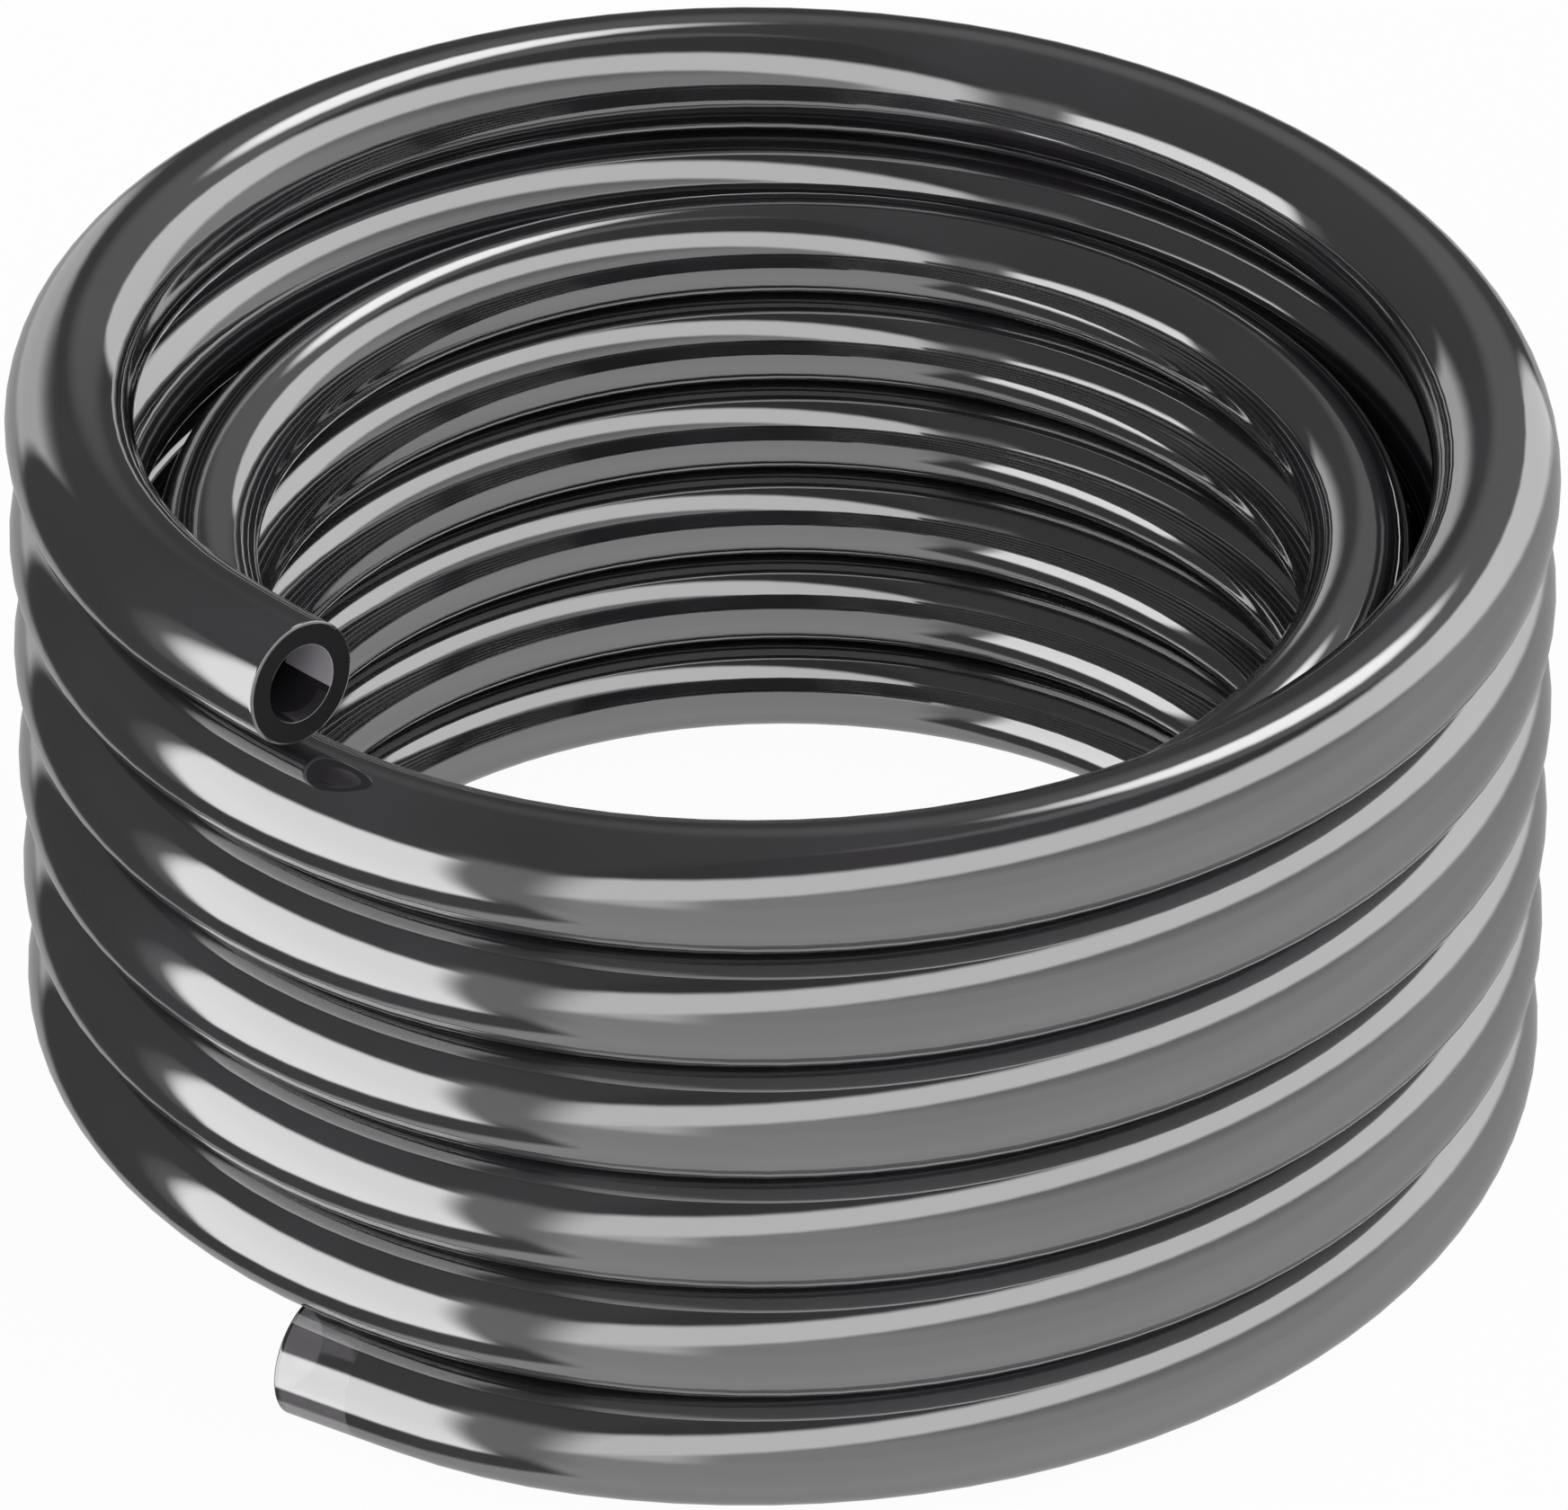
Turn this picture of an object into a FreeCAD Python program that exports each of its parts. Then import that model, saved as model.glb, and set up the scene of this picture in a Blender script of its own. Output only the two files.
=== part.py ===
import FreeCAD, Part
import math
import os

# Double coil of an immersion wort chiller: two clear hoses, one wound inside the other, with plain cut ends.
# The coil stands on Z = 0 round the Z axis. Azimuths count from +X towards +Y, and +Y is the back.
# Both hoses go down clockwise, seen from above.

doc = FreeCAD.newDocument("WortChillerCoil")
sheet = doc.addObject("Spreadsheet::Sheet", "Dimensions")

# Driving dimensions: lengths in millimetres, azimuths in degrees, turns as counts
DRIVING = (
    ("outer_hose_diameter", 16.0),
    ("outer_hose_bore", 10.0),
    ("outer_coil_radius", 89.0),
    ("outer_turns", 6),
    ("outer_turn_gap", 0.45),
    ("outer_end_length", 16.0),
    ("outer_upper_azimuth", 220.0),
    ("outer_upper_rise", 0.86),
    ("outer_lower_azimuth", 239.3),
    ("inner_hose_diameter", 13.0),
    ("inner_hose_bore", 8.0),
    ("inner_turns", 6),
    ("inner_turn_gap", 0.55),
    ("inner_end_length", 13.0),
    ("inner_upper_azimuth", 200.7),
    ("inner_lower_azimuth", 260.0),
    ("inner_lift", 9.0),
    ("layer_clearance", 2.0),
    ("foot_depth", 0.5),
)
for row, (alias, value) in enumerate(DRIVING, start=1):
    sheet.set("A%d" % row, alias.replace("_", " "))
    sheet.set("B%d" % row, str(value))
    sheet.setAlias("B%d" % row, alias)
doc.recompute()


def size(alias):
    return float(sheet.get(alias))


QUARTER = 90.0
FULL = 360.0

outer_radius = size("outer_hose_diameter") / 2
inner_radius = size("inner_hose_diameter") / 2
outer_coil = size("outer_coil_radius")
inner_coil = outer_coil - outer_radius - size("layer_clearance") - inner_radius
outer_pitch = size("outer_hose_diameter") + size("outer_turn_gap")
inner_pitch = size("inner_hose_diameter") + size("inner_turn_gap")
outer_floor = outer_radius - size("foot_depth")
inner_floor = inner_radius - size("foot_depth")

outer_start = size("outer_upper_azimuth")
outer_finish = size("outer_lower_azimuth") - FULL * size("outer_turns")
inner_start = size("inner_upper_azimuth")
inner_finish = size("inner_lower_azimuth") - FULL * size("inner_turns")


# Routes of the two hoses

def joins(start, finish, end_length, coil_radius):
    """Azimuths where arcs join, going down: both ends of the coil and the quarter turns between them.

    A quarter turn that is nearer to an end than one and a half of its straight length has no join."""
    shortest = math.degrees(1.5 * end_length / coil_radius)
    found = [start]
    azimuth = QUARTER * math.floor(start / QUARTER)
    while azimuth - finish > shortest:
        if start - azimuth > shortest:
            found.append(azimuth)
        azimuth -= QUARTER
    found.append(finish)
    return found


def place(radius, azimuth, height):
    """Point of a coil's centre line."""
    angle = math.radians(azimuth)
    return FreeCAD.Vector(radius * math.cos(angle), radius * math.sin(angle), height)


def heading(azimuth, fall):
    """Direction of a hose going down clockwise, where fall is its drop per length of turn."""
    angle = math.radians(azimuth)
    way = FreeCAD.Vector(math.sin(angle), -math.cos(angle), -fall)
    way.normalize()
    return way


def outer_route():
    """The outer hose falls evenly. Its last turn touches the floor at the back and at the cut end."""
    even_fall = outer_pitch / (2 * math.pi * outer_coil)
    azimuths = joins(outer_start, outer_finish, size("outer_end_length"), outer_coil)
    lead = math.radians(azimuths[0] - azimuths[1]) * outer_coil
    route = []
    for azimuth in azimuths:
        height = outer_radius + outer_pitch * (azimuth - outer_finish) / FULL
        fall = even_fall
        at_back = azimuth % FULL == QUARTER
        if azimuth == outer_start:
            height += size("outer_upper_rise")
            fall += 2 * size("outer_upper_rise") / lead
        if azimuth == outer_finish or (at_back and azimuth - outer_finish < FULL):
            height = outer_floor
            fall = 0.0
        route.append((place(outer_coil, azimuth, height), heading(azimuth, fall)))
    return route


def inner_route():
    """The inner hose is level round the back half of each turn and steps down round the front half."""
    steepest = inner_pitch / (math.radians(QUARTER) * inner_coil)
    lowest = size("inner_lift") + inner_radius
    top = lowest + inner_pitch * (size("inner_turns") - 1)
    route = []
    for azimuth in joins(inner_start, inner_finish, size("inner_end_length"), inner_coil):
        turns_done = math.ceil(-azimuth / FULL)
        level = top - inner_pitch * turns_done
        past_back = azimuth + FULL * turns_done - 2 * QUARTER
        height = level
        fall = 0.0
        if 0 < past_back < 2 * QUARTER:
            share = min(past_back, 2 * QUARTER - past_back) / QUARTER
            climb = inner_pitch * share * share / 2
            height = level + (climb if past_back <= QUARTER else inner_pitch - climb)
            fall = steepest * share
        if azimuth == inner_finish:
            height = inner_floor
            fall = 0.0
        route.append((place(inner_coil, azimuth, height), heading(azimuth, fall)))
    return route


def arc(start, corner, end):
    """Arc that leaves start towards corner and comes to end from corner, with its radius."""
    middle = (start + end) * 0.5
    half_chord = start.distanceToPoint(end) / 2
    cosine = half_chord / start.distanceToPoint(corner)
    crown = middle + (corner - middle) * (cosine / (1 + cosine))
    return Part.Arc(start, crown, end).toShape(), half_chord / math.sqrt(1 - cosine * cosine)


def biarc(start, start_way, end, end_way):
    """Two arcs that meet in line and take the hose from one point and direction to the next."""
    chord = end - start
    ways = start_way + end_way
    turn = 2 * (1 - start_way.dot(end_way))
    along = chord.dot(ways)
    reach = (math.sqrt(along * along + turn * chord.dot(chord)) - along) / turn
    first_corner = start + start_way * reach
    second_corner = end - end_way * reach
    join = (first_corner + second_corner) * 0.5
    return [arc(start, first_corner, join), arc(join, second_corner, end)]


def trace(route):
    """Arcs along a route and their radii."""
    arcs = []
    for (start, start_way), (end, end_way) in zip(route, route[1:]):
        arcs.extend(biarc(start, start_way, end, end_way))
    return [edge for edge, _ in arcs], [radius for _, radius in arcs]


# Pieces

floor = doc.addObject("Part::Box", "BelowFloor")
floor.setExpression("Length", "2 * (Dimensions.outer_coil_radius + 2 * Dimensions.outer_hose_diameter)")
floor.setExpression("Width", "2 * (Dimensions.outer_coil_radius + 2 * Dimensions.outer_hose_diameter)")
floor.setExpression("Height", "Dimensions.outer_hose_diameter")
doc.recompute()
floor.Placement = FreeCAD.Placement(
    FreeCAD.Vector(-floor.Length.Value / 2, -floor.Width.Value / 2, -floor.Height.Value),
    FreeCAD.Rotation(),
)


def cut(name, base, tool):
    piece = doc.addObject("Part::Cut", name)
    piece.Base = base
    piece.Tool = tool
    return piece


def wound(name, edges, start, way, radius):
    """Solid swept by a disc of one radius along the arcs of a coil."""
    ring = Part.Wire([Part.makeCircle(radius, start, way)])
    piece = doc.addObject("Part::Feature", name)
    piece.Shape = Part.Wire(edges).makePipeShell([ring], True, False)
    piece.Placement = FreeCAD.Placement()
    return piece


def straight(name, layer, measure, start, way):
    """Rod along one straight end, as thick as the layer's hose or its bore."""
    rod = doc.addObject("Part::Cylinder", name)
    rod.setExpression("Radius", "Dimensions.%s_hose_%s / 2" % (layer, measure))
    rod.setExpression("Height", "Dimensions.%s_end_length" % layer)
    rod.Placement = FreeCAD.Placement(start, FreeCAD.Rotation(FreeCAD.Vector(0, 0, 1), way))
    return rod


def end_piece(layer, end, start, way, on_floor):
    """Straight cut end of one hose, flat underneath where it lies on the floor."""
    word = layer.capitalize() + end.capitalize()
    rod = straight(word + "Rod", layer, "diameter", start, way)
    bore = straight(word + "Bore", layer, "bore", start, way)
    piece = cut(word + "End", rod, bore)
    if on_floor:
        piece = cut(word + "Foot", piece, floor)
    piece.Label = "%s_%s_end" % (layer, end)
    return piece


def hose(layer, route):
    """One hose: its coil and its two straight ends."""
    edges, radii = trace(route)
    word = layer.capitalize()
    start, start_way = route[0]
    finish, finish_way = route[-1]
    tube = wound(word + "Tube", edges, start, start_way, size(layer + "_hose_diameter") / 2)
    bore = wound(word + "Bore", edges, start, start_way, size(layer + "_hose_bore") / 2)
    coil = cut(word + "Coil", cut(word + "Hollow", tube, bore), floor)
    coil.Label = layer + "_coil"
    upper = end_piece(layer, "upper", start, start_way * -1, False)
    lower = end_piece(layer, "lower", finish, finish_way, True)
    return {"edges": edges, "radii": radii, "tube": tube, "bore": bore, "pieces": [coil, upper, lower]}


# Measures of the wound hoses

POINTS_PER_ARC = 37


def centre_points(layer, route, edges):
    """Points along the centre line of one hose, each with its distance from the upper cut end."""
    end_length = size(layer + "_end_length")
    start, start_way = route[0]
    finish, finish_way = route[-1]
    points = [start - start_way * end_length]
    for edge in edges:
        ordered = edge.discretize(POINTS_PER_ARC)
        points.extend(ordered if points[-1].distanceToPoint(ordered[0]) <= end_length * 1.001 else ordered[::-1])
    points.append(finish + finish_way * end_length)
    travelled = [0.0]
    for before, after in zip(points, points[1:]):
        travelled.append(travelled[-1] + before.distanceToPoint(after))
    return list(zip(points, travelled))


def least_gap_to_itself(points, radius, coil_radius):
    """Least gap between the walls of two turns of one hose."""
    half_turn = math.pi * coil_radius
    least = math.inf
    for index, (point, here) in enumerate(points):
        for other, there in points[index + 1:]:
            if half_turn < there - here < 3 * half_turn:
                least = min(least, point.distanceToPoint(other))
    return least - 2 * radius


def least_gap_between(points, radius, other_points, other_radius):
    """Least gap between the walls of the two hoses."""
    reach = 2 * (radius + other_radius)
    least = math.inf
    for point, _ in points:
        for other, _ in other_points:
            if abs(point.z - other.z) < reach:
                least = min(least, point.distanceToPoint(other))
    return least - radius - other_radius


routes = {"outer": outer_route(), "inner": inner_route()}
coil_radii = {"outer": outer_coil, "inner": inner_coil}
hoses = {layer: hose(layer, route) for layer, route in routes.items()}
doc.recompute()

for item in doc.Objects:
    if "Invalid" in item.State or "Error" in item.State:
        raise RuntimeError("%s failed: %s" % (item.Name, item.State))

lines = {}
for layer, made in hoses.items():
    lines[layer] = centre_points(layer, routes[layer], made["edges"])
    length = sum(edge.Length for edge in made["edges"])
    whole = length + 2 * size(layer + "_end_length")
    print("%s hose: length %.1f mm, of which the coil %.1f mm" % (layer, whole, length))
    print("  arc radii %.2f to %.2f mm" % (min(made["radii"]), max(made["radii"])))
    for part, measure in (("tube", "diameter"), ("bore", "bore")):
        section = math.pi * (size("%s_hose_%s" % (layer, measure)) / 2) ** 2
        ratio = made[part].Shape.Volume / (section * length)
        print("  %s volume over section times length %.6f" % (part, ratio))
    gap = least_gap_to_itself(lines[layer], size(layer + "_hose_diameter") / 2, coil_radii[layer])
    print("  least gap to itself %.3f mm" % gap)
print("least gap between the hoses %.3f mm" % least_gap_between(
    lines["outer"], outer_radius, lines["inner"], inner_radius))

os.makedirs("parts", exist_ok=True)
for made in hoses.values():
    for piece in made["pieces"]:
        shape = piece.Shape
        if shape.isNull() or not shape.isValid() or len(shape.Solids) != 1:
            raise RuntimeError("%s is not one valid solid" % piece.Label)
for made in hoses.values():
    for piece in made["pieces"]:
        piece.Shape.exportStep(os.path.join("parts", piece.Label + ".step"))
        box = piece.Shape.BoundBox
        print("%-18s volume %9.1f mm3, z %.3f to %.3f mm" % (
            piece.Label, piece.Shape.Volume, box.ZMin, box.ZMax))
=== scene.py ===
import math

import bpy
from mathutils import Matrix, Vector


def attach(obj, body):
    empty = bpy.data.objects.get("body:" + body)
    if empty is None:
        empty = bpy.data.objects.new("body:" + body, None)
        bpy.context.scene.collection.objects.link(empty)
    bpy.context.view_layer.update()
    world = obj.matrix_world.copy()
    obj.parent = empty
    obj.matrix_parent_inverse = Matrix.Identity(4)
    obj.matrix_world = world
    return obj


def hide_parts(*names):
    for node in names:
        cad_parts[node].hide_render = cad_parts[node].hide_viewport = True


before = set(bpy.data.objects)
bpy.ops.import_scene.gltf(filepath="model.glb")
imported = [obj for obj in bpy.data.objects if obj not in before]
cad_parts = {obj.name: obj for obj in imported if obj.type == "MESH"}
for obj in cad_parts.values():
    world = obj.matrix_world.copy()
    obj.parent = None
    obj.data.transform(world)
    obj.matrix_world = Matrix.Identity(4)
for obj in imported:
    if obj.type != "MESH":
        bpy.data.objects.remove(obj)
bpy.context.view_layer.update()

MM = 0.001
FULL = 360.0
QUARTER = 90.0


# Camera at the photograph's viewing angle

VIEW_ELEVATION = math.radians(33.747)
VIEW_DISTANCE = 1498.4 * MM
AIM_HEIGHT = 51.07 * MM
FOCAL_PIXELS = 13112.0
FRAME_WIDTH = 1744.0
SENSOR = 36.0
NEAREST = 0.05
FARTHEST = 50.0

camera_data = bpy.data.cameras.new("camera")
camera_data.sensor_width = SENSOR
camera_data.lens = FOCAL_PIXELS / FRAME_WIDTH * SENSOR
camera_data.clip_start = NEAREST
camera_data.clip_end = FARTHEST
camera = bpy.data.objects.new("camera", camera_data)
camera.location = (
    0.0,
    -VIEW_DISTANCE * math.cos(VIEW_ELEVATION),
    AIM_HEIGHT + VIEW_DISTANCE * math.sin(VIEW_ELEVATION),
)
camera.rotation_euler = (math.pi / 2 - VIEW_ELEVATION, 0.0, 0.0)
bpy.context.scene.collection.objects.link(camera)
bpy.context.scene.camera = camera


# Routes of the two hoses, in millimetres and degrees as in the solids: the hose's outside and bore, the
# coil's radius to the centre line, its turns and their fall, the length of each straight end and the
# azimuths where they begin. The upper end of the outer hose rises and bows a little; the inner hose's
# lowest turn lies at a height called lift.

OUTER = {
    "hose": 16.0, "bore": 10.0, "coil": 89.0, "turns": 6, "pitch": 16.45, "end": 16.0,
    "start": 220.0, "finish": 239.3, "rise": 0.86, "bow": 0.3,
}
INNER = {
    "hose": 13.0, "bore": 8.0, "coil": 72.5, "turns": 6, "pitch": 13.55, "end": 13.0,
    "start": 200.7, "finish": 260.0, "lift": 9.0, "bow": 0.0,
}
FOOT_DEPTH = 0.5
# Shortest stretch between two joins, in lengths of a straight end
SHORTEST_IN_ENDS = 1.5
POINTS_PER_TURN = 24
SPLINE_ORDER = 3
STEPS_PER_POINT = 4


def joins(hose, start, finish):
    """Azimuths where the solids' arcs join, going down."""
    shortest = math.degrees(SHORTEST_IN_ENDS * hose["end"] / hose["coil"])
    found = [start]
    azimuth = QUARTER * math.floor(start / QUARTER)
    while azimuth - finish > shortest:
        if start - azimuth > shortest:
            found.append(azimuth)
        azimuth -= QUARTER
    found.append(finish)
    return found


def outer_levels(hose, start, finish):
    """Azimuth, height and fall at each join of the outer hose, which falls evenly."""
    even = hose["pitch"] / (2 * math.pi * hose["coil"])
    azimuths = joins(hose, start, finish)
    lead = math.radians(azimuths[0] - azimuths[1]) * hose["coil"]
    levels = []
    for azimuth in azimuths:
        height = hose["hose"] / 2 + hose["pitch"] * (azimuth - finish) / FULL
        fall = even
        at_back = azimuth % FULL == QUARTER
        if azimuth == start:
            height += hose["rise"]
            fall += 2 * hose["rise"] / lead
        if azimuth == finish or (at_back and azimuth - finish < FULL):
            height = hose["hose"] / 2 - FOOT_DEPTH
            fall = 0.0
        levels.append((azimuth, height, fall))
    return levels


def inner_levels(hose, start, finish):
    """The same for the inner hose, level round the back half and stepping down round the front half."""
    steepest = hose["pitch"] / (math.radians(QUARTER) * hose["coil"])
    top = hose["lift"] + hose["hose"] / 2 + hose["pitch"] * (hose["turns"] - 1)
    levels = []
    for azimuth in joins(hose, start, finish):
        done = math.ceil(-azimuth / FULL)
        height = top - hose["pitch"] * done
        fall = 0.0
        past_back = azimuth + FULL * done - 2 * QUARTER
        if 0 < past_back < 2 * QUARTER:
            share = min(past_back, 2 * QUARTER - past_back) / QUARTER
            climb = hose["pitch"] * share * share / 2
            height += climb if past_back <= QUARTER else hose["pitch"] - climb
            fall = steepest * share
        if azimuth == finish:
            height = hose["hose"] / 2 - FOOT_DEPTH
            fall = 0.0
        levels.append((azimuth, height, fall))
    return levels


def height_at(levels, coil, azimuth):
    """Height of the centre line, whose slope changes evenly over each half of a stretch."""
    for (high, top, top_fall), (low, base, base_fall) in zip(levels, levels[1:]):
        if azimuth >= low:
            break
    length = math.radians(high - low) * coil
    middle = 2 * (base - top) / length + (top_fall + base_fall) / 2
    gone = math.radians(high - azimuth) * coil
    if gone < length / 2:
        return top - top_fall * gone + (middle + top_fall) * gone * gone / length
    left = length - gone
    return base + base_fall * left - (middle + base_fall) * left * left / length


def on_coil(radius, azimuth, height):
    angle = math.radians(azimuth)
    return Vector((radius * math.cos(angle), radius * math.sin(angle), height))


def heading(azimuth, fall):
    """Direction of a hose that goes down clockwise past an azimuth."""
    angle = math.radians(azimuth)
    return Vector((math.sin(angle), -math.cos(angle), -fall)).normalized()


def control_points(hose, levels):
    """Control points of one hose, in metres: its ends, and the corners of a polygon round each turn.

    A bow at the first end keeps a trace of the coil's curve up to the cut.
    """
    coil = hose["coil"]
    start, top, top_fall = levels[0]
    finish, base, base_fall = levels[-1]
    count = round((start - finish) / FULL * POINTS_PER_TURN)
    step = (start - finish) / count
    corner = coil / math.cos(math.radians(step) / 2)
    half_side = coil * math.tan(math.radians(step) / 2)
    first, first_way = on_coil(coil, start, top), heading(start, top_fall)
    last, last_way = on_coil(coil, finish, base), heading(finish, base_fall)
    bow = on_coil(hose["bow"], start, 0.0)
    points = [first - first_way * hose["end"] - bow, first - first_way * hose["end"] / 2 + bow]
    for k in range(count):
        azimuth = start - (k + 0.5) * step
        points.append(on_coil(corner, azimuth, height_at(levels, coil, azimuth)))
    points += [last + last_way * half_side, last + last_way * hose["end"]]
    return [p * MM for p in points]


def smooth_line(name, points):
    """Points along the smooth spline that has these control points."""
    data = bpy.data.curves.new(name, "CURVE")
    data.dimensions = "3D"
    spline = data.splines.new("NURBS")
    spline.points.add(len(points) - 1)
    for target, point in zip(spline.points, points):
        target.co = (*point, 1.0)
    spline.order_u = SPLINE_ORDER
    spline.use_endpoint_u = True
    spline.resolution_u = STEPS_PER_POINT
    line = bpy.data.objects.new(name, data)
    bpy.context.scene.collection.objects.link(line)
    mesh = bpy.data.meshes.new_from_object(line)
    found = [v.co.copy() for v in mesh.vertices]
    bpy.data.objects.remove(line)
    bpy.data.meshes.remove(mesh)
    return found


# Meshes of the hoses. A ring of the line that is too near to a cut is left out, and one ring close behind
# each rounded edge keeps the side's shading straight up to it.

SIDES = 64
EDGE_ROUND = 0.35 * MM
BORE_EDGE_ROUND = 0.08 * MM
EDGE_SHARES = (1.0, 0.6, 0.25, 0.0)
BEHIND_EDGE = 1.5 * EDGE_ROUND
TOO_NEAR = 2 * EDGE_ROUND
CLEAR_LENGTH = 14.0 * MM
# Sides of the bore near the first end that get painted light: a lighter colour stands in for light coming
# through the wall
PAINTED_LIGHT_SIDES = range(5, 37)
BODY, CLEAR_WALL, CUT_FACE, PAINTED_LIGHT_BORE = range(4)


def ring(centre, way, radius):
    """Vertices of one ring square to the hose, none below the surface that the coil stands on."""
    side = Vector((-way.y, way.x, 0.0)).normalized()
    up = way.cross(side)
    found = []
    for k in range(SIDES):
        angle = 2 * math.pi * k / SIDES
        vertex = centre + (side * math.cos(angle) + up * math.sin(angle)) * radius
        vertex.z = max(vertex.z, 0.0)
        found.append(vertex)
    return found


def drawn_in(size, share):
    """How far a rounded edge of this size is drawn in, at this share of its way back from the cut."""
    return size * (1 - math.sqrt(1 - (1 - share) ** 2))


def cut_edge(cut, out, way, outside, bore):
    """Centre, direction and radius of each ring round one cut, from the outside to the bore."""
    found = [(cut - out * BEHIND_EDGE, way, outside)]
    for share in EDGE_SHARES:
        found.append((cut - out * (EDGE_ROUND * share), way, outside - drawn_in(EDGE_ROUND, share)))
    found.append((cut, way, (outside + bore) / 2))
    for share in reversed(EDGE_SHARES):
        back = BORE_EDGE_ROUND * share
        found.append((cut - out * back, way, bore + drawn_in(BORE_EDGE_ROUND, share)))
    return found


def hose_mesh(name, line, outside, bore, looks):
    """A hollow hose along a line, with its bore open at both slightly rounded cut ends.

    Its looks are, in order, that of its whole length, of the clear wall at its last end, of its cut faces,
    and of a painted light on the upper side of the bore at its first end: a lighter colour there stands in for
    light that comes through the wall.
    """
    ways = []
    for k in range(len(line)):
        ways.append((line[min(k + 1, len(line) - 1)] - line[max(k - 1, 0)]).normalized())
    first, first_way = line[0], ways[0]
    last, last_way = line[-1], ways[-1]
    between = [
        (point, way) for point, way in zip(line, ways)
        if (point - first).length > TOO_NEAR and (point - last).length > TOO_NEAR
    ]
    sections = cut_edge(first, -first_way, first_way, outside, bore)[::-1]
    sections += [(point, way, outside) for point, way in between]
    sections += cut_edge(last, last_way, last_way, outside, bore)
    sections += [(point, way, bore) for point, way in reversed(between)]
    rings = [ring(*section) for section in sections]
    total = len(rings)

    faces = []
    look_of_face = []
    for r in range(total):
        following = (r + 1) % total
        centre, _, radius = sections[r]
        on_cut = centre in (first, last) and sections[following][0] in (first, last)
        clear = (rings[r][0] - last).length < CLEAR_LENGTH
        # Painted light: faces on the upper side of the bore near the first end get the lighter look
        lit = radius < (outside + bore) / 2 and (rings[r][0] - first).length < CLEAR_LENGTH
        for k in range(SIDES):
            beside = (k + 1) % SIDES
            faces.append((
                r * SIDES + k, r * SIDES + beside, following * SIDES + beside, following * SIDES + k,
            ))
            if on_cut:
                look_of_face.append(CUT_FACE)
            elif clear:
                look_of_face.append(CLEAR_WALL)
            else:
                look_of_face.append(PAINTED_LIGHT_BORE if lit and k in PAINTED_LIGHT_SIDES else BODY)

    data = bpy.data.meshes.new(name)
    data.from_pydata([tuple(vertex) for found in rings for vertex in found], [], faces)
    data.shade_smooth()
    for look in looks:
        data.materials.append(look)
    for face, look in zip(data.polygons, look_of_face):
        face.material_index = look
        face.use_smooth = look != CUT_FACE
    piece = bpy.data.objects.new(name, data)
    bpy.context.scene.collection.objects.link(piece)
    return piece


class Net:
    """Short ways to add nodes to one node tree."""

    def __init__(self, tree):
        self.tree = tree

    def node(self, kind, **settings):
        made = self.tree.nodes.new(kind)
        for name, value in settings.items():
            setattr(made, name, value)
        return made

    def feed(self, target, source):
        """Link a node's output to an input, or set the input to a constant."""
        if hasattr(source, "is_output"):
            self.tree.links.new(source, target)
        else:
            target.default_value = source

    def math(self, operation, a, b=0.0):
        made = self.node("ShaderNodeMath", operation=operation)
        self.feed(made.inputs[0], a)
        self.feed(made.inputs[1], b)
        return made.outputs[0]

    def dot(self, a, b):
        made = self.node("ShaderNodeVectorMath", operation="DOT_PRODUCT")
        self.feed(made.inputs[0], a)
        self.feed(made.inputs[1], b)
        return made.outputs["Value"]

    def ramp(self, value, low, high, at_low=0.0, at_high=1.0, kind="SMOOTHSTEP"):
        """Step from at_low, where value is low, to at_high, where it is high."""
        made = self.node("ShaderNodeMapRange", interpolation_type=kind)
        self.feed(made.inputs["Value"], value)
        self.feed(made.inputs["From Min"], low)
        self.feed(made.inputs["From Max"], high)
        self.feed(made.inputs["To Min"], at_low)
        self.feed(made.inputs["To Max"], at_high)
        return made.outputs["Result"]

    def mix(self, share, a, b):
        """a where share is 0 and b where it is 1."""
        made = self.node("ShaderNodeMix", data_type="FLOAT")
        self.feed(made.inputs[0], share)
        self.feed(made.inputs[2], a)
        self.feed(made.inputs[3], b)
        return made.outputs[0]

    def mix_colour(self, share, a, b):
        made = self.node("ShaderNodeMix", data_type="RGBA")
        self.feed(made.inputs[0], share)
        self.feed(made.inputs[6], a)
        self.feed(made.inputs[7], b)
        return made.outputs[2]

    def mix_shader(self, share, a, b):
        made = self.node("ShaderNodeMixShader")
        self.feed(made.inputs[0], share)
        self.feed(made.inputs[1], a)
        self.feed(made.inputs[2], b)
        return made.outputs[0]


# Looks of the hoses. The tint has clouds a few centimetres across and the gloss a few millimetres.

TINT_SCALE = 28.0
GLOSS_SCALE = 240.0
CLOUD_DETAIL = 2.0
CLOUD_EDGES = (0.35, 0.65)
THICK_TINT = (0.013, 0.013, 0.0135, 1.0)
THIN_TINT = (0.026, 0.023, 0.028, 1.0)
CLEAR_TINT = (0.115, 0.108, 0.118, 1.0)
CUT_TINT = (0.012, 0.012, 0.0125, 1.0)
# Painted light: a pale colour for the upper side of the bore near the first end, standing in for light that
# comes through the wall
PAINTED_BORE_LIGHT_TINT = (0.4, 0.37, 0.41, 1.0)
SMOOTHEST = 0.05
ROUGHEST = 0.075
PLASTIC = {"IOR": 2.25, "Coat_Weight": 1.0, "Coat_IOR": 1.8, "Coat_Roughness": 0.04}


def look(name, **sockets):
    """A material whose shader has these constants on its own sockets."""
    material = bpy.data.materials.new(name)
    material.use_nodes = True
    shader = material.node_tree.nodes["Principled BSDF"]
    for socket, value in sockets.items():
        shader.inputs[socket.replace("_", " ")].default_value = value
    return material


def clouds(net, place, scale, *levels):
    """Soft clouds, from 0 to 1 or between two other levels."""
    noise = net.node("ShaderNodeTexNoise")
    net.feed(noise.inputs["Vector"], place)
    net.feed(noise.inputs["Scale"], scale)
    net.feed(noise.inputs["Detail"], CLOUD_DETAIL)
    return net.ramp(noise.outputs["Fac"], *CLOUD_EDGES, *levels, kind="LINEAR")


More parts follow.
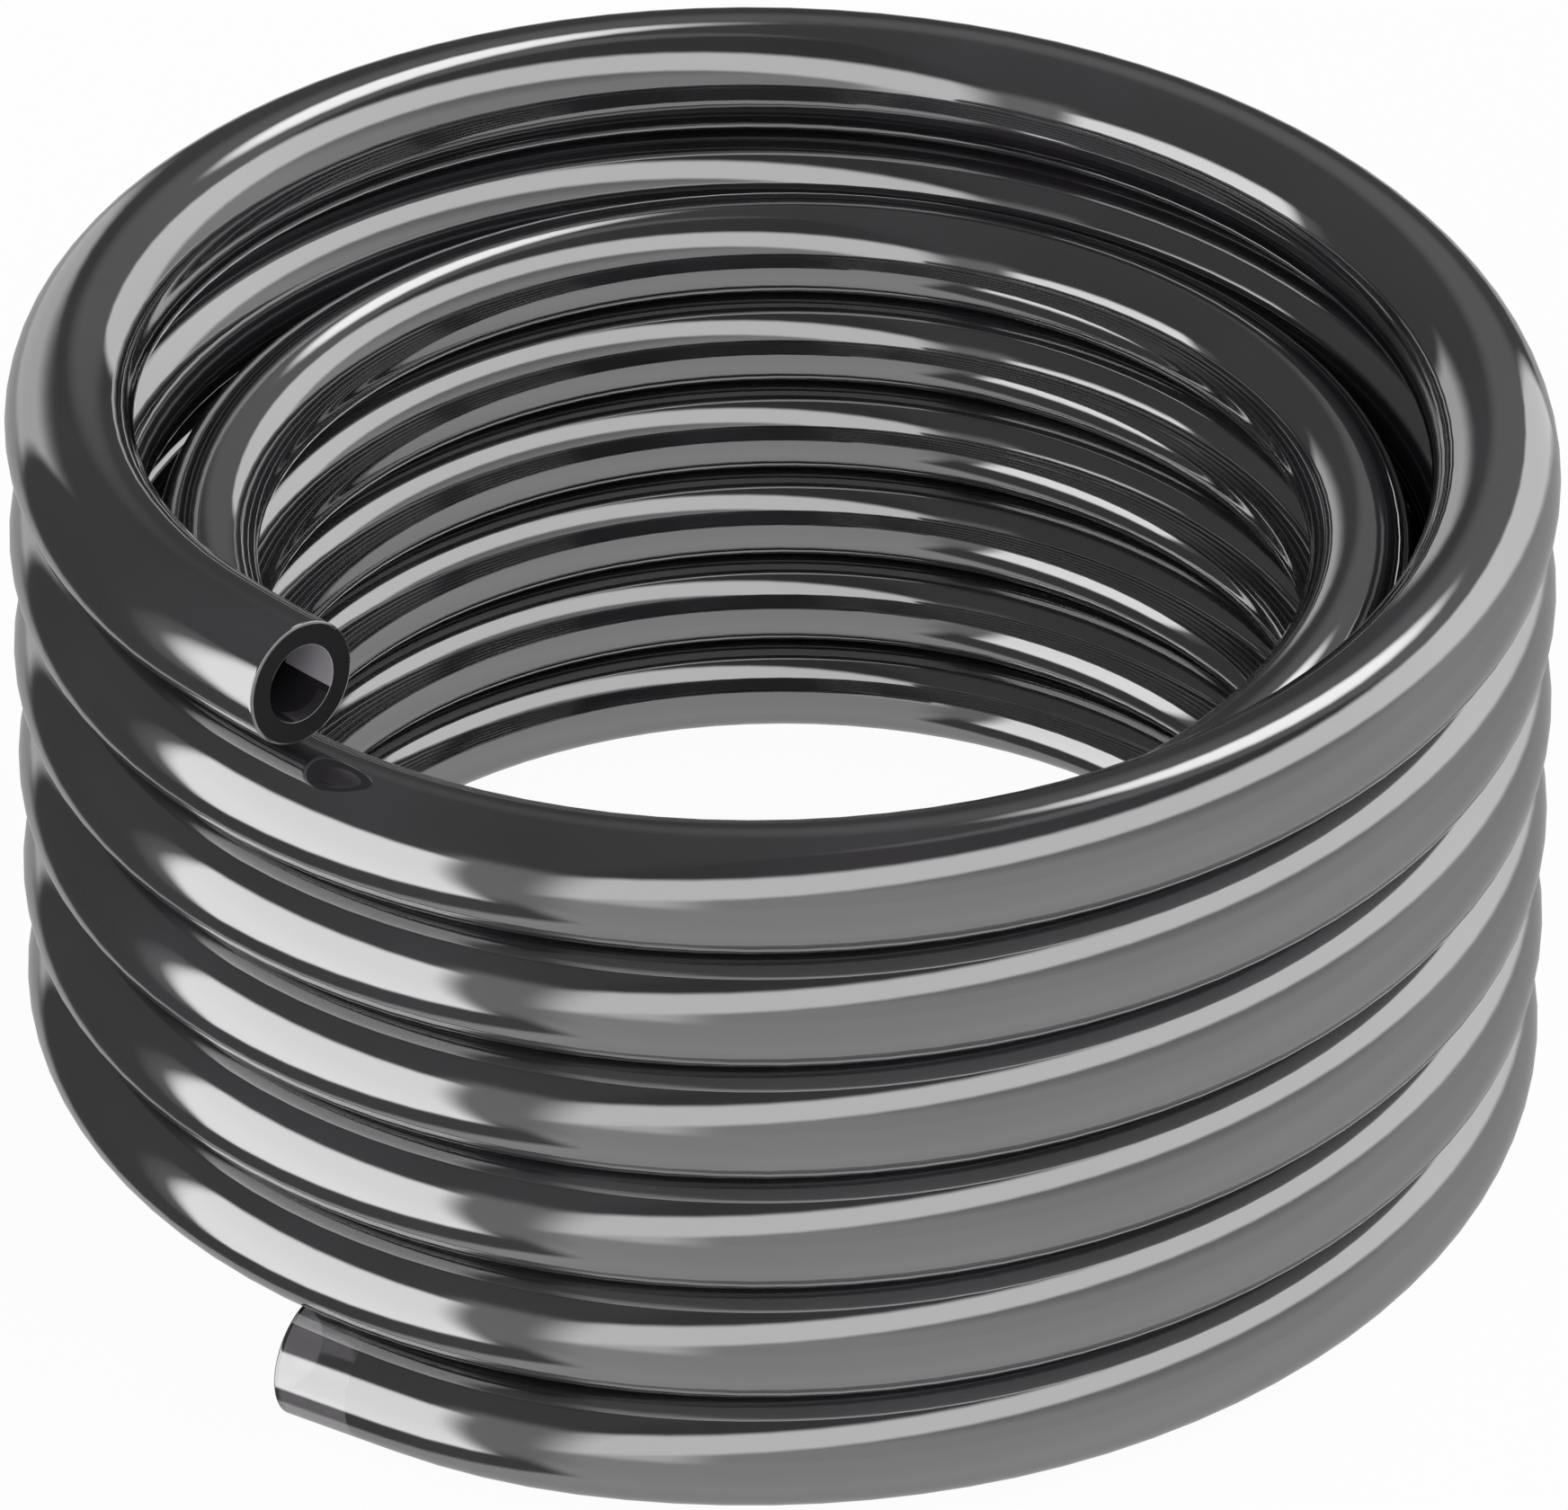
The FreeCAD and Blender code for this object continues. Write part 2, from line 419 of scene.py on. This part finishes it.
def cloud_over(material):
    """Uneven tint and gloss on a material."""
    net = Net(material.node_tree)
    shader = material.node_tree.nodes["Principled BSDF"]
    place = net.node("ShaderNodeTexCoord").outputs["Object"]
    tint = net.mix_colour(clouds(net, place, TINT_SCALE), THICK_TINT, THIN_TINT)
    net.feed(shader.inputs["Base Color"], tint)
    net.feed(shader.inputs["Roughness"], clouds(net, place, GLOSS_SCALE, SMOOTHEST, ROUGHEST))


hose_look = look("smoke_grey_hose", **PLASTIC)
cloud_over(hose_look)
end_look = look(
    "clear_end", Base_Color=CLEAR_TINT, Roughness=0.06, Transmission_Weight=1.0, **PLASTIC)
cut_look = look("cut_face", Base_Color=CUT_TINT, Roughness=0.55, Specular_IOR_Level=0.2)
# Painted light on the upper side of the bore at the first end
painted_light_bore_look = look("bore_wall_painted_light", Base_Color=PAINTED_BORE_LIGHT_TINT, Roughness=0.35, Specular_IOR_Level=0.3)
looks = (hose_look, end_look, cut_look, painted_light_bore_look)

for layer, hose, levels_of in (("outer", OUTER, outer_levels), ("inner", INNER, inner_levels)):
    start = hose["start"]
    finish = hose["finish"] - FULL * hose["turns"]
    line = smooth_line(layer + "_line", control_points(hose, levels_of(hose, start, finish)))
    tube = hose_mesh(layer + "_hose", line, hose["hose"] / 2 * MM, hose["bore"] / 2 * MM, looks)
    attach(tube, "root")
    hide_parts(layer + "_coil", layer + "_upper_end", layer + "_lower_end")


# Floor: paper that looks nearly white to the camera and keeps a faint shadow, white through clear plastic,
# and open to reflections, which see the studio's own white floor instead

REACH = 6.0
PAPER = (0.9, 0.9, 0.9, 1.0)
WHITE_TO_CAMERA = 0.96

corners = [(-REACH, -REACH, 0.0), (REACH, -REACH, 0.0), (REACH, REACH, 0.0), (-REACH, REACH, 0.0)]
floor_data = bpy.data.meshes.new("floor")
floor_data.from_pydata(corners, [], [(0, 1, 2, 3)])
floor = bpy.data.objects.new("floor", floor_data)
bpy.context.scene.collection.objects.link(floor)
floor_look = bpy.data.materials.new("floor")
floor_look.use_nodes = True
floor_look.node_tree.nodes.clear()
net = Net(floor_look.node_tree)
rays = net.node("ShaderNodeLightPath")
paper = net.node("ShaderNodeBsdfDiffuse")
net.feed(paper.inputs["Color"], PAPER)
white = net.node("ShaderNodeEmission")
open_air = net.node("ShaderNodeBsdfTransparent")
to_camera = net.math("MULTIPLY", rays.outputs["Is Camera Ray"], WHITE_TO_CAMERA)
seen = net.mix_shader(to_camera, paper.outputs[0], white.outputs[0])
seen = net.mix_shader(rays.outputs["Is Glossy Ray"], seen, open_air.outputs[0])
seen = net.mix_shader(rays.outputs["Is Transmission Ray"], seen, white.outputs[0])
surface = net.node("ShaderNodeOutputMaterial")
net.feed(surface.inputs["Surface"], seen)
floor.data.materials.append(floor_look)


# Studio: large soft panels round a white floor, painted on the world by direction

# Light levels
WHITE_FLOOR = 1.0
WALL = 0.93
WALL_TOP = 0.6
CEILING = 0.12
STRIP = 2.5
STRIP_FOOT = 0.75 * STRIP
ARCH_END = 0.42
DARK_WALL = 0.17
GAP = 0.62
FAR_PANEL = 1.7
GLOW = 0.42
PANEL = 3.6
BESIDE_PANEL = 0.42
LAMP = 4.4
BACK_DIMMED = 0.5

# Edges across the height of a direction, from outside a region to inside it
WALL_TOP_RISE = (0.25, 0.52)
FRONT_FLOOR_RISE = (-0.02, -0.14)
BACK_FLOOR_RISE = (-0.14, -0.28)
STRIP_FOOT_RISE = (-0.22, -0.04)
GAP_LOW_RISE = (-0.66, -0.38)
GAP_HIGH_RISE = (0.6, 0.4)
FAR_PANEL_LOW_RISE = (-0.3, -0.1)
FAR_PANEL_HIGH_RISE = (0.46, 0.22)

# Edges across an upright plane: the azimuth that it faces, then from outside a region to inside it
STRIP_FOOT_SIDE = (-193.0, -0.08, 0.1)
ARCH_END_SIDE = (125.0, -0.05, 0.05)
BOARD_SIDES = ((222.0, -0.1, 0.06), (143.0, -0.05, 0.05))
GAP_SIDE = (-55.0, 0.0, 0.12)
FAR_PANEL_SIDES = ((43.0, -0.04, 0.04), (194.0, -0.04, 0.04))
FRONT_SIDES = ((-35.0, -0.04, 0.13), (-28.0, -0.03, 0.03))

# Edges across a slanting plane: its normal, then from outside a region to inside it
ARCH_END_SLANT = ((-0.792, 0.21, 0.573), -0.03, 0.03)
BOARD_SLANT = ((0.869, 0.155, -0.468), 0.05, -0.05)

# The arched strip of light lies between two cones round an axis of this azimuth and elevation
ARCH_AXIS = (-35.5, -47.2)
ARCH_LOWER_EDGE = (0.19, 0.09)
ARCH_UPPER_EDGE = (-0.29, -0.4)

# Round spots: azimuth and elevation of the middle, then degrees from it to the outer and inner edge
GLOW_SPOT = (66.0, 35.0, 28.0, 14.0)
LAMP_SPOT = (67.0, 52.5, 12.0, 5.0)

# The left panel: azimuth and elevation of its middle, then degrees to the outer and inner edges
PANEL_MIDDLE = (-160.8, -7.6)
PANEL_HALF_WIDTH = (27.0, 20.5)
PANEL_HALF_HEIGHT = (34.0, 28.0)
BESIDE_HALF_WIDTH = (38.0, 24.0)
LEAST_DEPTH = 0.001

# The room is dimmer towards the back of the floor
BACK_OF_FLOOR = (90.0, -33.7)
DIMMING_EDGE = (-0.05, 1.05)


def vector(azimuth, elevation):
    """Unit vector towards an azimuth and elevation in degrees."""
    a = math.radians(azimuth)
    e = math.radians(elevation)
    return (math.cos(e) * math.cos(a), math.cos(e) * math.sin(a), math.sin(e))


def both(a, b):
    return net.math("MULTIPLY", a, b)


def facing(azimuth, outer, inner):
    """Smooth step across the upright plane at right angles to an azimuth."""
    return net.ramp(net.dot(way, vector(azimuth, 0.0)), outer, inner)


def slanting(normal, outer, inner):
    """Smooth step across the plane that has this normal."""
    return net.ramp(net.dot(way, normal), outer, inner)


def spot(azimuth, elevation, outer, inner):
    """Smooth step towards a direction, between two angles from it."""
    nearness = net.dot(way, vector(azimuth, elevation))
    return net.ramp(nearness, math.cos(math.radians(outer)), math.cos(math.radians(inner)))


def offset(axis):
    """How far a direction meets the left panel's plane from the panel's middle along an axis, as a tangent."""
    return net.math("ABSOLUTE", net.math("DIVIDE", net.dot(way, tuple(axis)), depth))


def within(distance, outer, inner):
    """Smooth step between two angles, of a distance given as a tangent."""
    return net.ramp(distance, math.tan(math.radians(outer)), math.tan(math.radians(inner)))


world = bpy.data.worlds.new("studio")
bpy.context.scene.world = world
world.use_nodes = True
world.node_tree.nodes.clear()
net = Net(world.node_tree)
way = net.node("ShaderNodeTexCoord").outputs["Generated"]
split = net.node("ShaderNodeSeparateXYZ")
net.feed(split.inputs[0], way)
rise = split.outputs["Z"]

# In front: the floor, a wall, the arched strip over it with its foot at the left, and a dark ceiling
front = net.mix(net.ramp(rise, *WALL_TOP_RISE), WALL, WALL_TOP)
front = net.mix(net.ramp(rise, *FRONT_FLOOR_RISE), front, WHITE_FLOOR)
strip_foot = both(facing(*STRIP_FOOT_SIDE), net.ramp(rise, *STRIP_FOOT_RISE))
front = net.mix(strip_foot, front, STRIP_FOOT)
arch = net.dot(way, vector(*ARCH_AXIS))
front = net.mix(net.ramp(arch, *ARCH_LOWER_EDGE), front, STRIP)
front = net.mix(net.ramp(arch, *ARCH_UPPER_EDGE), front, CEILING)
front = net.mix(both(slanting(*ARCH_END_SLANT), facing(*ARCH_END_SIDE)), front, ARCH_END)

# Behind: the floor with a dark wall above it, a dark board over its far part at the left, a paler gap at
# the right, a panel far left and a glow round the lamp
behind = net.mix(net.ramp(rise, *BACK_FLOOR_RISE), DARK_WALL, WHITE_FLOOR)
board_sides = both(facing(*BOARD_SIDES[0]), facing(*BOARD_SIDES[1]))
behind = net.mix(both(slanting(*BOARD_SLANT), board_sides), behind, DARK_WALL)
gap_height = both(net.ramp(rise, *GAP_LOW_RISE), net.ramp(rise, *GAP_HIGH_RISE))
behind = net.mix(both(facing(*GAP_SIDE), gap_height), behind, GAP)
far_width = both(facing(*FAR_PANEL_SIDES[0]), facing(*FAR_PANEL_SIDES[1]))
far_height = both(net.ramp(rise, *FAR_PANEL_HIGH_RISE), net.ramp(rise, *FAR_PANEL_LOW_RISE))
behind = net.mix(both(far_width, far_height), behind, FAR_PANEL)
behind = net.mix(spot(*GLOW_SPOT), behind, GLOW)
in_front = net.math("MAXIMUM", facing(*FRONT_SIDES[0]), facing(*FRONT_SIDES[1]))
light = net.mix(in_front, behind, front)

# The left panel is a rectangle with soft edges, and the wall beside it is a little lit
middle = Vector(vector(*PANEL_MIDDLE))
across = Vector((0.0, 0.0, 1.0)).cross(middle).normalized()
upward = middle.cross(across)
depth = net.math("MAXIMUM", net.dot(way, tuple(middle)), LEAST_DEPTH)
from_middle = offset(across)
in_height = within(offset(upward), *PANEL_HALF_HEIGHT)
light = net.mix(both(within(from_middle, *PANEL_HALF_WIDTH), in_height), light, PANEL)
beside_panel = both(within(from_middle, *BESIDE_HALF_WIDTH), in_height)
light = net.math("MAXIMUM", light, both(beside_panel, BESIDE_PANEL))

dimming = net.ramp(net.dot(way, vector(*BACK_OF_FLOOR)), *DIMMING_EDGE, 1.0, BACK_DIMMED)
light = net.mix(spot(*LAMP_SPOT), both(light, dimming), LAMP)

# The camera sees plain white behind everything
rays = net.node("ShaderNodeLightPath")
light = net.mix(rays.outputs["Is Camera Ray"], light, 1.0)
background = net.node("ShaderNodeBackground")
net.feed(background.inputs["Strength"], light)
sky = net.node("ShaderNodeOutputWorld")
net.feed(sky.inputs["Surface"], background.outputs[0])

bpy.context.scene.view_settings.view_transform = "Standard"
